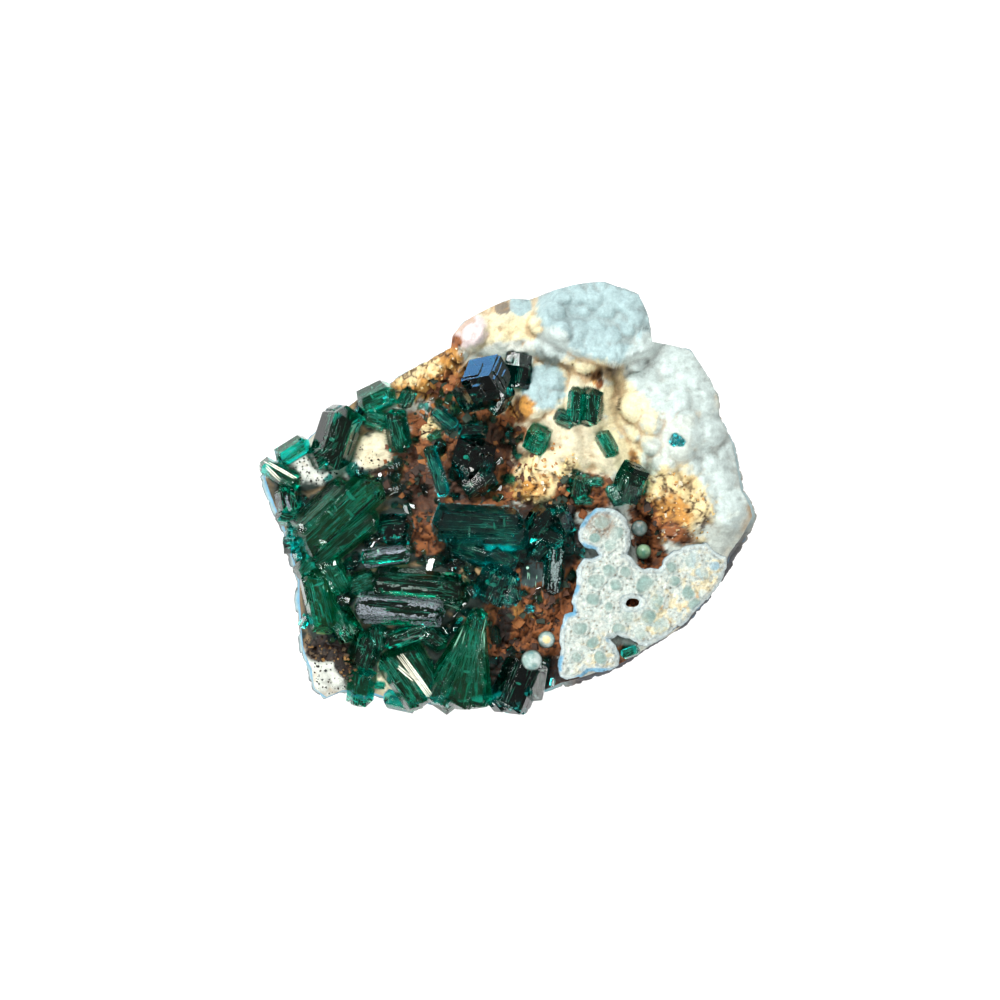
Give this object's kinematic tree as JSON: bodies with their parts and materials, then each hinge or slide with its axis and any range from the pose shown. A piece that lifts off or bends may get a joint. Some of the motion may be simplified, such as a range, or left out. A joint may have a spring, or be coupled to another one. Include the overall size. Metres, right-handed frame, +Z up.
{
  "type": "mineral specimen",
  "caption": "Dioptase specimen: clear emerald-green hexagonal prisms on pale botryoidal rock with a porous crust plate, lying on a flat-cut underside.",
  "frame": {"origin": "on the flat-cut underside, below the middle of the specimen", "axes": "+Z up from the underside, +X along the specimen's length towards its pale botryoidal end, +Y across it towards the blue knoll"},
  "size_m": [0.0614, 0.0535, 0.0217],
  "materials": {
    "rock": "rough, pale blue to cream with ochre and rust-brown patches",
    "crust": "porous, chalky white with grey-green spots",
    "dioptase": "clear, vitreous, deep emerald green",
    "spherule": "pearly, pale green to white"
  },
  "bodies": {
    "root": {"botryoidal_crust": "crust", "crystal_blue": "dioptase", "crystal_domed": "dioptase", "crystal_frosted_small": "dioptase", "crystal_gem": "dioptase", "crystal_ochre_edge": "dioptase", "crystal_ochre_small": "dioptase", "crystal_single_bright": "dioptase", "crystal_slender": "dioptase", "crystal_sliver": "dioptase", "crystal_small_gem": "dioptase", "crystal_square_dark": "dioptase", "crystal_teal_small": "dioptase", "crystal_turquoise_speck": "dioptase", "crystal_under_crust": "dioptase", "crystal_upper_left_big": "dioptase", "crystal_upper_left_end": "dioptase", "crystal_wide": "dioptase", "crystals_below_pair": "dioptase", "crystals_blocky": "dioptase", "crystals_bottom_dark": "dioptase", "crystals_bottom_left": "dioptase", "crystals_cleaved": "dioptase", "crystals_fan": "dioptase", "crystals_frosted_centre": "dioptase", "crystals_left_pointed": "dioptase", "crystals_left_striated": "dioptase", "crystals_left_tip": "dioptase", "crystals_long_pair": "dioptase", "crystals_right_dark": "dioptase", "crystals_trio": "dioptase", "crystals_turquoise": "dioptase", "crystals_upper_left_pale": "dioptase", "crystals_with_arm": "dioptase", "matrix": "rock", "spherule_grey_green": "spherule", "spherule_large": "spherule", "spherule_ochre_core": "spherule", "spherule_pale_green": "spherule"}
  },
  "joints": []
}
